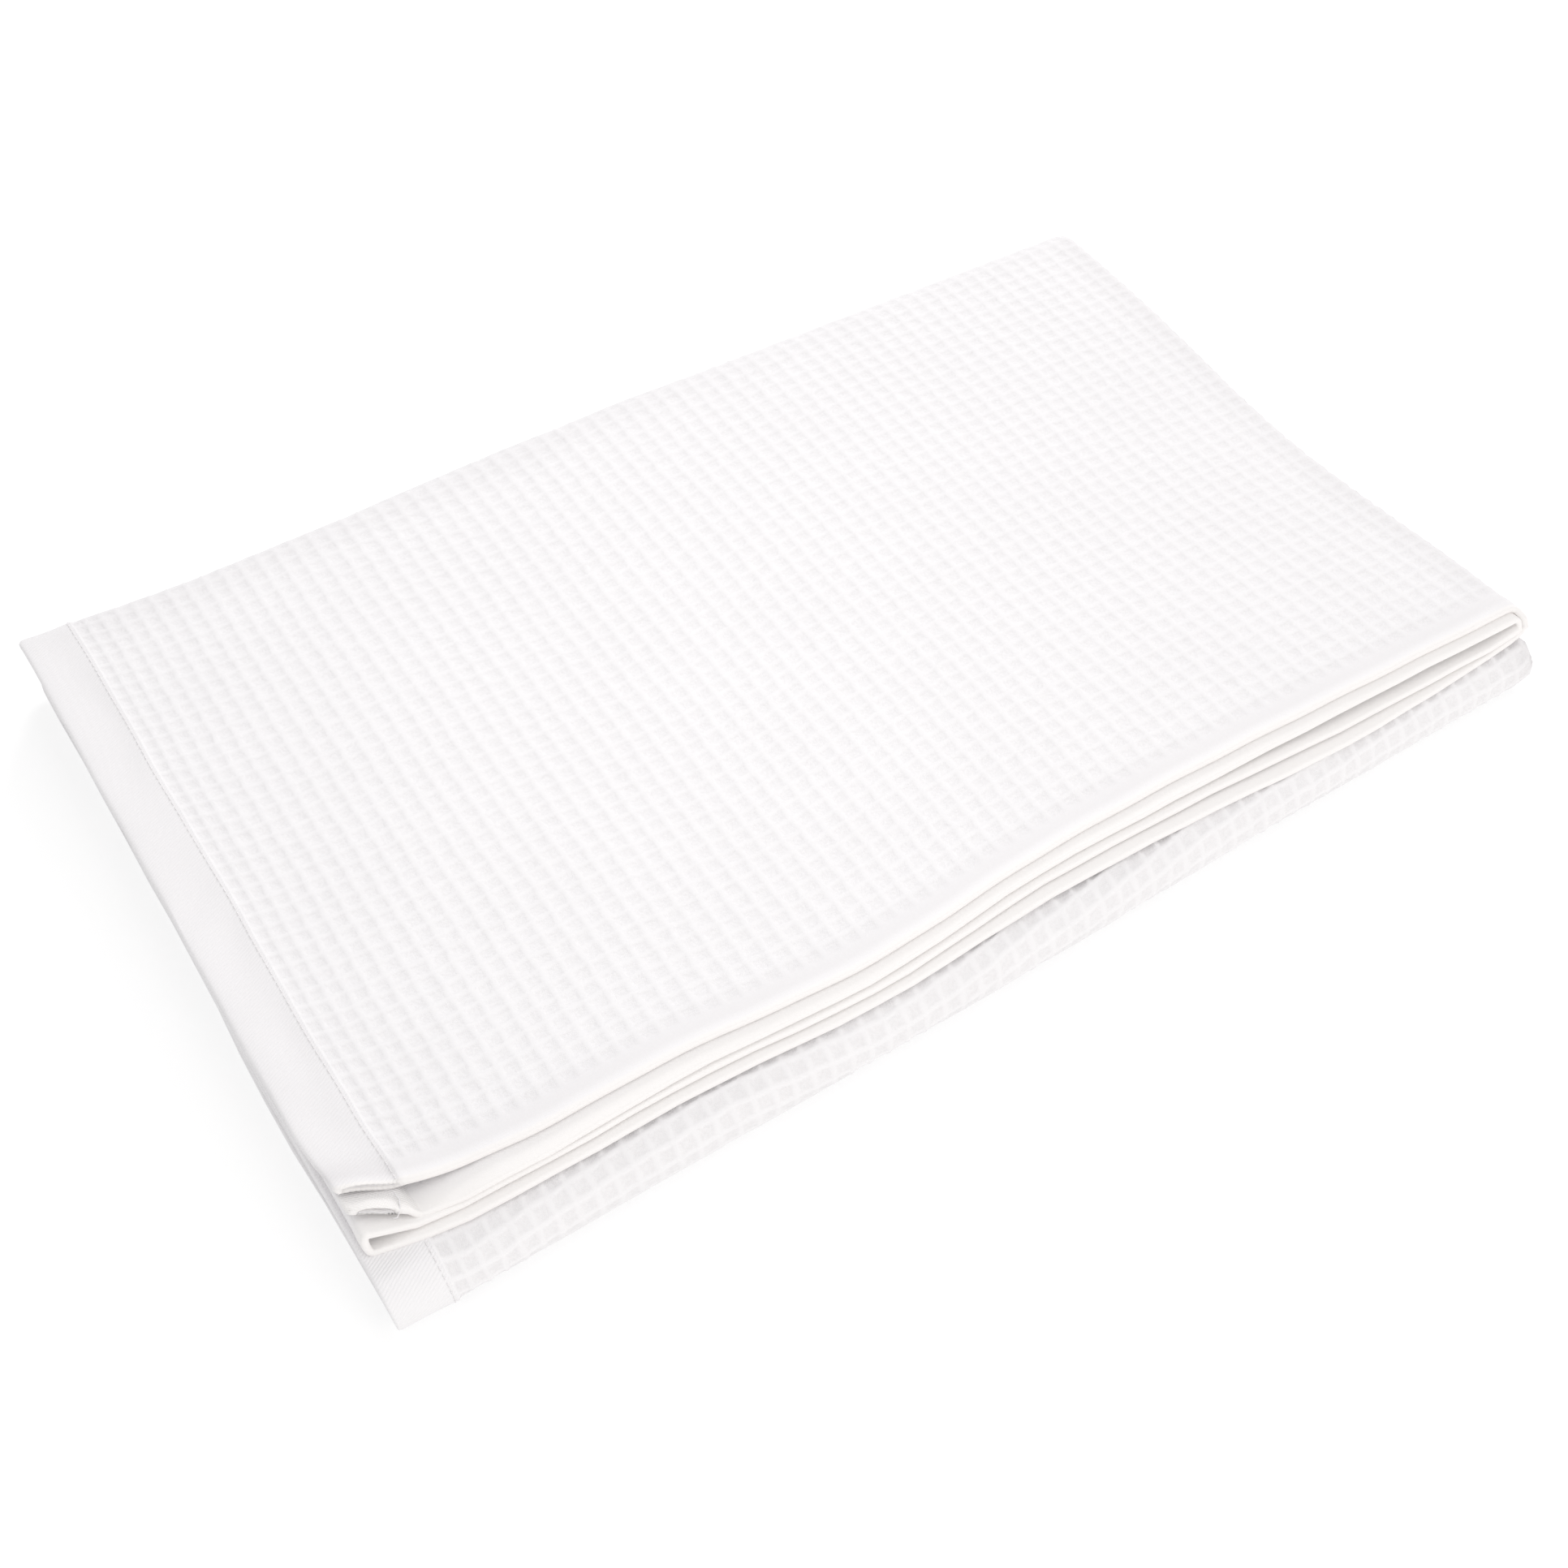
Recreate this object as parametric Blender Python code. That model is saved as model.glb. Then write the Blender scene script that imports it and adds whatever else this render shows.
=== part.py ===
# Waffle-weave bath sheet, folded flat and ready for the shelf.
#
# The cloth is one piece. It is folded in four along its length, as one back-and-forth section of four layers,
# and that section is then folded in three across its width: top panel, turn at the back, bottom panel on the
# floor, fat turn at the front, and middle panel tucked in between.
#
# Frame: +X along the folded length, with the hems at the -X end and the outer fold at the +X end. -Y is the
# front, where the selvages lie stepped on one another. +Z is up, and the origin is on the floor under the middle.
from math import pi

import bpy
import numpy as np

# Cloth
SHEET = 0.0023              # thickness of the cloth between its ribs' crests
HEM = 0.0024                # thickness of the double-turned hem
STITCHED = 0.0017           # thickness where the hem's seam pulls the cloth together
SELVAGE = 0.0019            # thickness of the plain border along the front
SPACING = 0.00295           # middle of one layer to the middle of the next
CLOTH_WIDTH = 0.91          # selvage to selvage, laid flat
HEM_WIDTH = 0.0205          # edge of the cloth to the hem's seam

# Folded section, seen from the front
LEFT_END = -0.2530          # hems and the left-hand fold
RIGHT_END = 0.2530          # outside of the outer fold
FOLD_INSET = 0.0012         # how far the left-hand fold and the second hem lie inside the first hem
SECOND_HEM_INSET = 0.0006
LOWER_INSET = 0.0032        # how far the left end of the stack steps in on its way down to the floor
LOWER_BULGE = 0.0020        # and how much of that is missing near the front
BULGE_AT, BULGE_REACH = -0.070, 0.050
WAIST = 0.0085              # how far the folded end draws in between its corners
WAIST_AT = -0.010           # where along Y it draws in most
WAIST_REACH = 0.085

# Heights inside the fold across the width, in layers
TOP_BASE = 8                # innermost layer of the top panel
MIDDLE_BASE = 4             # innermost layer of the middle panel
BOTTOM_BASE = 3             # innermost layer of the bottom panel
LAYERS = 4
BACK_RADIUS = (TOP_BASE - BOTTOM_BASE) / 2
FRONT_RADIUS = (MIDDLE_BASE - BOTTOM_BASE) / 2

# Edges of the folded stack, in metres from the origin: the four selvages of the top panel from the uppermost
# down and the front turn are forward of it, and the back turn is behind it.
EDGE_COLUMNS = ("x", "lip_1", "lip_2", "lip_3", "lip_4", "front_turn", "back_turn")
EDGES = (
    (-0.253, 0.1341, 0.1418, 0.1491, 0.1511, 0.1728, 0.1715),
    (-0.223, 0.1420, 0.1521, 0.1530, 0.1568, 0.1724, 0.1705),
    (-0.194, 0.1445, 0.1532, 0.1536, 0.1570, 0.1709, 0.1690),
    (-0.134, 0.1432, 0.1498, 0.1512, 0.1548, 0.1688, 0.1692),
    (-0.061, 0.1456, 0.1510, 0.1530, 0.1561, 0.1665, 0.1718),
    (0.021, 0.1368, 0.1417, 0.1446, 0.1494, 0.1627, 0.1735),
    (0.071, 0.1343, 0.1402, 0.1432, 0.1483, 0.1597, 0.1728),
    (0.161, 0.1341, 0.1390, 0.1429, 0.1477, 0.1550, 0.1718),
    (0.253, 0.1345, 0.1385, 0.1408, 0.1404, 0.1512, 0.1712),
)

# Soft dips in the stack: middle, reach along X and Y, and depth as a share of the stack's height
DIP_COLUMNS = ("x", "y", "reach_x", "reach_y", "depth")
DIPS = (
    (-0.253, 0.165, 0.160, 0.090, 0.040),
    (-0.215, 0.085, 0.035, 0.050, 0.020),
    (-0.225, -0.030, 0.030, 0.060, 0.035),
    (-0.232, -0.125, 0.022, 0.030, 0.040),
    (0.060, -0.128, 0.110, 0.020, 0.035),
    (0.020, 0.060, 0.120, 0.070, -0.020),
    (0.243, 0.000, 0.030, 0.120, 0.040),
)

# The two lower layers of the top panel sag onto the front turn towards the folded end, which opens a gap
SAG = 0.0022
SAG_FROM, SAG_TO = 0.090, 0.250
SAG_REACH = 0.030

# Mesh
HEM_STATIONS = (0.0, 0.5, 1.0)          # shares of the hem's width
OUTER_STEPS, INNER_STEPS = 7, 4         # facets round each fold of the section
BORDER_WIDTH = 0.0135                   # plain border along the front of the top panel
ROWS = (                                # stretches across the cloth and the facets in each
    ("border", 2), ("top", 5), ("back", 7), ("bottom", 3), ("front", 7), ("middle", 4),
)
RIM = 0.7                   # how far a cut edge bulges, in half thicknesses
FLAT_BELOW = 0.0004         # whatever lies lower than this rests on the floor


def column(name, columns, table):
    """One named column of a table, as an array."""
    return np.array([row[columns.index(name)] for row in table])


def edge(name, x):
    """Smooth curve through one column of EDGES, read at x."""
    knots = column("x", EDGE_COLUMNS, EDGES)
    values = column(name, EDGE_COLUMNS, EDGES)
    slopes = np.gradient(values, knots)
    x = np.clip(x, knots[0], knots[-1])
    i = np.clip(np.searchsorted(knots, x, side="right") - 1, 0, len(knots) - 2)
    width = knots[i + 1] - knots[i]
    t = (x - knots[i]) / width
    start = (1 + 2 * t) * (1 - t) ** 2 * values[i] + t * (1 - t) ** 2 * width * slopes[i]
    stop = t ** 2 * (3 - 2 * t) * values[i + 1] - t ** 2 * (1 - t) * width * slopes[i + 1]
    return start + stop


def smooth(value, low, high):
    """0 below low, 1 above high, and an even ease between them."""
    t = np.clip((value - low) / (high - low), 0.0, 1.0)
    return t * t * (3 - 2 * t)


def half_turn(x, middle, radius, side, steps):
    """A fold of the section: x and layer along a half circle, without its two ends."""
    angle = np.linspace(0, pi, steps + 1)[1:-1]
    return x + side * radius * SPACING * np.sin(angle), middle + radius * np.cos(angle)


def section():
    """The cloth's section seen from the front, from hem to hem: x and the layer it runs in, 3 outermost."""
    right = RIGHT_END - 1.5 * SPACING - SHEET / 2
    left = LEFT_END + FOLD_INSET + 0.5 * SPACING + SHEET / 2
    hems = LEFT_END + np.array(HEM_STATIONS) * HEM_WIDTH
    knots = column("x", EDGE_COLUMNS, EDGES)
    knots = knots[(knots > hems[-1]) & (knots < right)]
    knots = np.append(knots, right)
    plain = np.sort(np.concatenate([knots, (knots[1:] + knots[:-1]) / 2]))
    outermost = np.concatenate([hems, plain])
    second = outermost[::-1].copy()
    second[-1] += SECOND_HEM_INSET
    inner = np.concatenate([[left, hems[-1]], plain])
    outer_x, outer_layer = half_turn(right, 1.5, 1.5, 1, OUTER_STEPS)
    left_x, left_layer = half_turn(left, 0.5, -0.5, 1, INNER_STEPS)
    inner_x, inner_layer = half_turn(right, 1.5, -0.5, -1, INNER_STEPS)
    x = [outermost, outer_x, inner[::-1], left_x, inner, inner_x, second]
    layer = [
        np.full(len(outermost), 3.0), outer_layer, np.zeros(len(inner)), left_layer,
        np.ones(len(inner)), inner_layer, np.full(len(second), 2.0),
    ]
    return np.concatenate(x), np.concatenate(layer)


def stations():
    """Where the rows across the cloth lie: the stretch each is in, and how far through it."""
    rows = [(ROWS[0][0], 0.0)]
    for place, facets in ROWS:
        rows += [(place, step / facets) for step in range(1, facets + 1)]
    return rows


def lip_line(x, layer):
    """How far forward the top panel's selvage lies, for any layer of the section."""
    lips = [edge(name, x) for name in ("lip_4", "lip_3", "lip_2", "lip_1")]
    low = np.clip(np.floor(layer).astype(int), 0, LAYERS - 2)
    share = layer - low
    return np.choose(low, lips[:-1]) * (1 - share) + np.choose(low, lips[1:]) * share


def across(x, layer, place, share):
    """y and z of one row across the folded cloth."""
    back = edge("back_turn", x) - (BACK_RADIUS + LAYERS - 1) * SPACING - SHEET / 2
    front = -edge("front_turn", x) + (FRONT_RADIUS + LAYERS - 1) * SPACING + SHEET / 2
    lip = -lip_line(x, layer)
    floor = SHEET / 2
    if place == "border":
        return lip + share * BORDER_WIDTH, floor + (TOP_BASE + layer) * SPACING
    if place == "top":
        start = lip + BORDER_WIDTH
        return start + share * (back - start), floor + (TOP_BASE + layer) * SPACING
    if place == "back":
        radius = (BACK_RADIUS + layer) * SPACING
        middle = floor + (TOP_BASE + BOTTOM_BASE) / 2 * SPACING
        return back + radius * np.sin(pi * share), middle + radius * np.cos(pi * share)
    if place == "bottom":
        return back + share * (front - back), floor + (BOTTOM_BASE - layer) * SPACING
    if place == "front":
        radius = (FRONT_RADIUS + layer) * SPACING
        middle = floor + (MIDDLE_BASE + BOTTOM_BASE) / 2 * SPACING
        return front - radius * np.sin(pi * share), middle - radius * np.cos(pi * share)
    turns = pi * (BACK_RADIUS + FRONT_RADIUS + 2 * layer) * SPACING
    inner_end = front + CLOTH_WIDTH - (back - lip) - turns - (back - front)
    return front + share * (inner_end - front), floor + (MIDDLE_BASE + layer) * SPACING


def settle(x, y, z, layer, place):
    """The soft unevenness of the stack: its uneven ends, its dips, and the sag at the front."""
    lowness = 1 - z / (TOP_BASE + LAYERS) / SPACING
    inset = LOWER_INSET - LOWER_BULGE * np.exp(-((y - BULGE_AT) / BULGE_REACH) ** 2)
    x = x + (1 - smooth(x, LEFT_END, 0.0)) * lowness * inset
    waist = WAIST * np.exp(-((y - WAIST_AT) / WAIST_REACH) ** 2)
    x = x - smooth(x, 0.0, RIGHT_END) * waist
    height = np.ones_like(z)
    for row in DIPS:
        dip = dict(zip(DIP_COLUMNS, row))
        away = ((x - dip["x"]) / dip["reach_x"]) ** 2 + ((y - dip["y"]) / dip["reach_y"]) ** 2
        height = height - dip["depth"] * np.exp(-away)
    along = smooth(x, SAG_FROM, (SAG_FROM + SAG_TO) / 2) * (1 - smooth(x, SAG_TO - 0.012, RIGHT_END))
    front = -edge("lip_4", x)
    sag = SAG * along * (1 - smooth(y, front, front + SAG_REACH))
    lower = 1 - smooth(layer, 1.0, 2.0) if place in ("border", "top") else 1.0
    height = height - lower * sag / ((TOP_BASE + 1) * SPACING)
    return x, y, z * height


def middle_surface():
    """The middle of the cloth as a grid of points, rows from hem to hem and columns across the width."""
    x, layer = section()
    columns = []
    for place, share in stations():
        y, z = across(x, layer, place, share)
        columns.append(np.stack(settle(x, y, z, layer, place), axis=1))
    return np.stack(columns, axis=1)


def thickness(grid):
    """Thickness of the cloth at every point of the grid."""
    x, layer = section()
    places = stations()
    thick = np.full(grid.shape[:2], SHEET)
    for j, (place, share) in enumerate(places):
        if place == "border" and share < 1.0:
            thick[:, j] = SELVAGE
    thick[:, -1] = SELVAGE
    from_edge = x - LEFT_END
    hemmed = layer > 1.5
    thick[hemmed & (from_edge < 0.9 * HEM_WIDTH)] = HEM
    thick[hemmed & (abs(from_edge - HEM_WIDTH) < 0.05 * HEM_WIDTH)] = STITCHED
    return thick[..., None]


def normals(grid):
    """Unit normals of the grid, pointing to the side that is uppermost in the top panel's outermost layer."""
    along = np.gradient(grid, axis=0)
    across_cloth = np.gradient(grid, axis=1)
    normal = np.cross(along, across_cloth)
    return normal / np.linalg.norm(normal, axis=2, keepdims=True)


def perimeter(rows, columns):
    """Grid positions round the edge of the cloth, each with its neighbour further in."""
    loop = [((i, 0), (i, 1)) for i in range(rows)]
    loop += [((rows - 1, j), (rows - 2, j)) for j in range(1, columns)]
    loop += [((i, columns - 1), (i, columns - 2)) for i in range(rows - 2, -1, -1)]
    loop += [((0, j), (1, j)) for j in range(columns - 2, 0, -1)]
    return loop


def cloth_mesh(name):
    """The folded cloth as one closed mesh: two faces and a bulging rim."""
    grid = middle_surface()
    half = thickness(grid) / 2
    normal = normals(grid)
    rows, columns = grid.shape[:2]
    upper = (grid + normal * half).reshape(-1, 3)
    lower = (grid - normal * half).reshape(-1, 3)
    rim = []
    for edge_point, inner_point in perimeter(rows, columns):
        outward = grid[edge_point] - grid[inner_point]
        rim.append(grid[edge_point] + outward / np.linalg.norm(outward) * half[edge_point] * RIM)
    points = np.concatenate([upper, lower, np.array(rim)])
    points[points[:, 2] < FLAT_BELOW, 2] = 0.0

    def at(i, j):
        return i * columns + j

    faces = []
    below = rows * columns
    for i in range(rows - 1):
        for j in range(columns - 1):
            quad = (at(i, j), at(i + 1, j), at(i + 1, j + 1), at(i, j + 1))
            faces.append(quad)
            faces.append(tuple(below + k for k in reversed(quad)))
    loop = [at(*edge_point) for edge_point, _ in perimeter(rows, columns)]
    rims = 2 * below
    for k, start in enumerate(loop):
        following = (k + 1) % len(loop)
        stop = loop[following]
        faces.append((stop, start, rims + k, rims + following))
        faces.append((rims + following, rims + k, below + start, below + stop))

    mesh = bpy.data.meshes.new(name)
    mesh.from_pydata([tuple(point) for point in points], [], faces)
    mesh.validate()
    mesh.shade_smooth()
    return mesh


def white_cotton():
    """Bleached cotton: nearly white, matt, a little warm."""
    material = bpy.data.materials.new("white_cotton")
    material.use_nodes = True
    shader = material.node_tree.nodes["Principled BSDF"]
    shader.inputs["Base Color"].default_value = (0.90, 0.885, 0.88, 1.0)
    shader.inputs["Roughness"].default_value = 0.92
    shader.inputs["Metallic"].default_value = 0.0
    return material


def main():
    for item in list(bpy.data.objects):
        bpy.data.objects.remove(item)
    mesh = cloth_mesh("bath_sheet")
    mesh.materials.append(white_cotton())
    sheet = bpy.data.objects.new("bath_sheet", mesh)
    bpy.context.scene.collection.objects.link(sheet)


main()
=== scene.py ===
from math import cos, pi, radians, sin

import bpy
import numpy as np
from mathutils import Matrix, Vector


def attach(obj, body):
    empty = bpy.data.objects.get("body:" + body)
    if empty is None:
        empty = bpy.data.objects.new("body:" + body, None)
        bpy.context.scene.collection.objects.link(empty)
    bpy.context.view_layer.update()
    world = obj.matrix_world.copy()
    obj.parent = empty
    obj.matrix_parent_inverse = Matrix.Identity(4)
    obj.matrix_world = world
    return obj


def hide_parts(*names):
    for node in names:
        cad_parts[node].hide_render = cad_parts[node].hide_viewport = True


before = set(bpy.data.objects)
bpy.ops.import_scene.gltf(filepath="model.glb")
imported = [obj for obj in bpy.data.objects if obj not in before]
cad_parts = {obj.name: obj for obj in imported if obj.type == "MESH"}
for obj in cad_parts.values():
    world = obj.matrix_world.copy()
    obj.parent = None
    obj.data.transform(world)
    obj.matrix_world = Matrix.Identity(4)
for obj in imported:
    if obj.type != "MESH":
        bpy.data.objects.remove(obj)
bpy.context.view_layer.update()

# The cloth. These are the solid's sizes, but its plain border is wider and thinner
SHEET = 0.0023              # thickness of the cloth between its ribs' crests
HEM = 0.0024                # thickness of the double-turned hem
SELVAGE = 0.0028            # thickness of the plain border along each selvage
SPACING = 0.00295           # middle of one layer to the middle of the next
CLOTH_WIDTH = 0.91          # selvage to selvage, laid flat
HEM_WIDTH = 0.0205          # edge of the cloth to the hem's seam
BORDER_WIDTH = 0.0080       # plain border along each selvage

# Folded section, seen from the front
LEFT_END, RIGHT_END = -0.2530, 0.2530
FOLD_INSET = 0.0012         # how far behind the left end the inner fold lies
SECOND_HEM_INSET = 0.0006   # how far behind it the second hem's edge lies
LOWER_INSET = 0.0032        # how far the left end is drawn in at the floor
LOWER_BULGE = 0.0020        # how much less that is at BULGE_AT
BULGE_AT, BULGE_REACH = -0.070, 0.050
WAIST = 0.0085              # how far the right end is drawn in at WAIST_AT
WAIST_AT, WAIST_REACH = -0.010, 0.085
RIGHT_TURN = RIGHT_END - 1.5 * SPACING - SHEET / 2
LEFT_TURN = LEFT_END + FOLD_INSET + 0.5 * SPACING + SHEET / 2

# The section's runs and folds along the cloth's length, from the first hem to the second: the x where each
# begins and ends, and the layer there, 3 outermost. A fold begins and ends at one x.
RUNS = (
    (LEFT_END, RIGHT_TURN, 3, 3),
    (RIGHT_TURN, RIGHT_TURN, 3, 0),
    (RIGHT_TURN, LEFT_TURN, 0, 0),
    (LEFT_TURN, LEFT_TURN, 0, 1),
    (LEFT_TURN, RIGHT_TURN, 1, 1),
    (RIGHT_TURN, RIGHT_TURN, 1, 2),
    (RIGHT_TURN, LEFT_END + SECOND_HEM_INSET, 2, 2),
)

# Heights inside the fold across the width, in layers
TOP_BASE = 8
MIDDLE_BASE = 4
BOTTOM_BASE = 3
LAYERS = 4
BACK_RADIUS = (TOP_BASE - BOTTOM_BASE) / 2
FRONT_RADIUS = (MIDDLE_BASE - BOTTOM_BASE) / 2

# Edges of the folded stack, in metres from the origin
EDGE_COLUMNS = ("x", "lip_1", "lip_2", "lip_3", "lip_4", "front_turn", "back_turn")
EDGES = (
    (-0.253, 0.1341, 0.1418, 0.1491, 0.1511, 0.1728, 0.1715),
    (-0.223, 0.1420, 0.1521, 0.1530, 0.1568, 0.1724, 0.1705),
    (-0.194, 0.1445, 0.1532, 0.1536, 0.1570, 0.1709, 0.1690),
    (-0.134, 0.1432, 0.1498, 0.1512, 0.1548, 0.1688, 0.1692),
    (-0.061, 0.1456, 0.1510, 0.1530, 0.1561, 0.1665, 0.1718),
    (0.021, 0.1368, 0.1417, 0.1446, 0.1494, 0.1627, 0.1735),
    (0.071, 0.1343, 0.1402, 0.1432, 0.1483, 0.1597, 0.1728),
    (0.161, 0.1341, 0.1390, 0.1429, 0.1477, 0.1550, 0.1718),
    (0.253, 0.1345, 0.1385, 0.1408, 0.1404, 0.1512, 0.1712),
)

# Soft dips in the stack: middle, reach along X and Y, and depth as a share of the stack's height
DIP_COLUMNS = ("x", "y", "reach_x", "reach_y", "depth")
DIPS = (
    (-0.253, 0.165, 0.160, 0.090, 0.040),
    (-0.215, 0.085, 0.035, 0.050, 0.020),
    (-0.225, -0.030, 0.030, 0.060, 0.035),
    (-0.232, -0.125, 0.022, 0.030, 0.040),
    (0.060, -0.128, 0.110, 0.020, 0.035),
    (0.020, 0.060, 0.120, 0.070, -0.020),
    (0.243, 0.000, 0.030, 0.120, 0.040),
)
SAG = 0.0022                # how far the layers under the upper two sag near the right corner
SAG_FROM, SAG_FULL, SAG_FADE = 0.090, 0.170, 0.238
SAG_REACH = 0.030
FLAT_BELOW = 0.0004         # points lower than this lie flat on the floor

# Waviness of the yarns: how far the broad waves, the smaller ones and those of single cells go
BROAD_DRIFT = 0.00030
DRIFT_ALONG, DRIFT_ACROSS = 0.00010, 0.00015
CELL_DRIFT = 0.00025

# Waffle weave
CELL_ALONG = 0.00765        # one cell along the cloth's length
CELL_ACROSS = 0.0066        # one cell across its width
PIT_DEPTH = 0.00092         # from the ribs' crests to the middle of a cell
RIB_CORE, RIB_FOOT = 0.02, 0.28     # flat crest and foot of a rib, in cells from its middle
CROSS_RIB = 0.95            # height of the ribs that run along the length
CROSSING_DIP = 0.32         # how far the ribs dip where they cross
UNEVENNESS = 0.32           # how much the ribs' height varies
WEAVE_SEED = 3.0
SQUEEZE, SQUEEZE_REACH = 0.0080, 0.022      # how the hem's seam draws the first cells together
SQUEEZE_FADE = (0.08, 0.48)                 # where along the cloth the later cells make up for it
WAFFLE_FADE = (0.70 * BORDER_WIDTH, 1.60 * BORDER_WIDTH)    # where the waffle rises beside the plain border

# Hems
MOUTH_DEPTH = 0.0040        # how deep one sees into the open end of a hem
MOUTH_RINGS = {68: 1.0, 112: 0.12}      # rings of the rim that are drawn in there
MOUTH_PUFF = 0.00030        # how far the hem's plies stand apart there
UPPER_MOUTH = (0.05, 0.86)  # start and width of the first hem's open end, as shares of the hem's width
LOWER_MOUTH = (0.08, 0.58)  # the same for the second hem
PLY_THICKNESS = 0.00045     # the turned-in ply that shows in the open end
PLY_RISE = 0.00035          # how far it lies above the hem's middle
SEAM_AT, SEAM_WIDTH = 0.925, 0.0010     # the stitches' place, as a share of the hem's width, and their reach
SEAM_GROOVE = 0.00006       # groove that the stitches pull
SEAM_RIDGE = 0.00040        # ridge where the hem ends
RIDGE_SLOPE = 5             # how much wider the ridge is on the hem's side
CORNER_RADIUS, CORNER_ROUND = 0.010, 0.94   # the back left corner, where 1 would be a full quarter circle
CORNER_DRAW, CORNER_REACH = 0.0022, 0.030   # how far the hems' front ends are drawn in, and how far back
CORNER_FADE = 0.05          # how far from the left end both reach
BORDER_SAG = 0.00035        # how far the front border of the top layer sinks

# Soft troughs and ridges pressed into the first hem: middle as a share of the hem's width and metres from the
# front selvage, reach along both, the slant of the trough, and its depth
CREASE_COLUMNS = ("share", "v", "reach_u", "reach_v", "slant", "depth")
CREASES = (
    (0.10, 0.150, 0.0025, 0.300, 0.00, -0.00025),
    (0.62, 0.255, 0.0060, 0.030, -0.05, 0.00070),
    (0.55, 0.212, 0.0050, 0.018, 0.10, 0.00045),
    (0.35, 0.135, 0.0060, 0.012, 0.55, 0.00060),
    (0.60, 0.112, 0.0055, 0.020, 0.15, 0.00075),
    (0.68, 0.070, 0.0050, 0.024, 0.05, 0.00060),
    (0.45, 0.030, 0.0060, 0.014, -0.20, 0.00050),
    (0.30, 0.178, 0.0050, 0.020, 0.00, -0.00030),
    (0.25, 0.060, 0.0040, 0.022, 0.00, -0.00030),
)

# Places at the front where layers of the top panel stand apart: where along X the lift starts, is full,
# begins to fall and ends, its reach behind the lip, and how far each layer is raised, the innermost first
LIFT_COLUMNS = ("start", "full", "fall", "stop", "behind", "by_layer")
LIFTS = (
    (-0.300, -0.290, -0.2480, -0.2345, 0.016, (-0.0006, 0.0024, 0.0031, 0.0030)),
    (-0.236, -0.2310, -0.2295, -0.2100, 0.024, (-0.0008, -0.0024, -0.0040, 0.0010)),
    (-0.300, -0.290, -0.2420, -0.2050, 0.016, (-0.0008, 0.0006, 0.0006, 0.0004)),
    (0.040, 0.120, 0.2250, 0.2500, 0.026, (-0.0010, -0.0005, 0.0, 0.0)),
)

# Thread: lockstitches of the hem's seam, and a loose end at the front left corner
STITCH_PITCH, STITCH_LENGTH = 0.0030, 0.0026
FIRST_STITCH = 0.002        # how far from the front selvage the seam begins
FLOOR_GAP = 0.012           # how far the stitches stay from the part that lies on the floor
FRONT_SEAM = 0.034          # length of the seam on the front turn
THREAD_WIDTH = 0.00045
STITCH_SEED = 2
LOOSE_THREAD = (
    (-0.2350, -0.1415, 0.0330), (-0.2346, -0.1447, 0.0325), (-0.2356, -0.1474, 0.0322),
    (-0.2366, -0.1485, 0.0314), (-0.2376, -0.1492, 0.0306), (-0.2390, -0.1489, 0.0310),
)

# Cotton's finish: its light colour, the darker one that its painted shade and its random tone go towards, and
# the painted warm light on its selvages' edges
COTTON_LIGHT = (0.808, 0.794, 0.802, 1.0)
COTTON_SHADE_AND_TONE = (0.695, 0.677, 0.684, 1.0)
LIP_PAINTED_LIGHT = (0.840, 0.815, 0.795, 1.0)
YARN_PITCH, YARN_RELIEF = 0.00062, 0.00004
GRAIN_SIZE, GRAIN_RELIEF = 0.0013, 0.00022
SLANT, SLANT_PITCH, SLANT_RELIEF = 0.8, 0.0013, 0.00005
RIB_CRISPNESS = 0.00010     # what the ribs' crests add to the modelled relief
CREST_CORE, CREST_FOOT = 0.02, 0.26     # as RIB_CORE and RIB_FOOT, for what the material does
YARN_ON_RIBS = 0.25         # share of the yarns' relief that the ribs' crests show

# How far each place goes from COTTON_LIGHT, 0, towards the darker colour, 1; all of it painted shade but the
# random tone
PIT_PAINTED_SHADE, FRONT_PIT_PAINTED_SHADE = 0.05, 0.20     # painted shade in the pits on the top, and on the front turn
SPECK_PAINTED_SHADE = 0.20          # painted shade between the yarns
TONE_SHADE = 0.06           # soft clouds all over
EDGE_PAINTED_SHADE = 0.50           # painted shade on the front border and right fold of the top layer
BACK_SHARE = 0.6            # how much of that painted shade the back edge has
HEM_PAINTED_SHADE, FAR_HEM_PAINTED_SHADE = 0.26, 0.02       # painted shade on the hem: on the top, and past the back edge

# Where those painted shades lie, in metres across the cloth from its front selvage, or before the right
# fold's end
FRONT_TURN = (0.63, 0.65)
BACK_EDGE = (0.280, 0.305, 0.325, 0.345)
HEM_FADE = (0.28, 0.34)
BORDER_EDGE = (0.0010, 0.0050)
FOLD_FROM, FOLD_FULL, TOP_LAYER_FADE = 0.030, 0.004, 0.010

# Painted warm light on the edges of the selvages, lighter and creamier: its start, its reach on the top layer
# and on the lower ones, its strength
LIP_FROM, LIP_REACH, LOWER_LIP_REACH, LIP_SHARE = 0.0003, 0.0016, 0.0120, 0.65

# Close lines of the mesh, as shares of the hem, the border and one cell
HEM_SHARES = (0.0, 0.05, 0.14, 0.27, 0.42, 0.57, 0.72, 0.84, 0.92, 0.97)
BORDER_SHARES = (0.0, 0.08, 0.25, 0.5, 0.75, 0.92)
CELL_SHARES = (0.0, 0.19, 0.5, 0.81)
FRONT_CELL_SHARES = (0.0, 0.14, 0.28, 0.72, 0.86)
UNDER_LINES = 12            # lines under the sheet, where it lies on the floor

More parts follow.
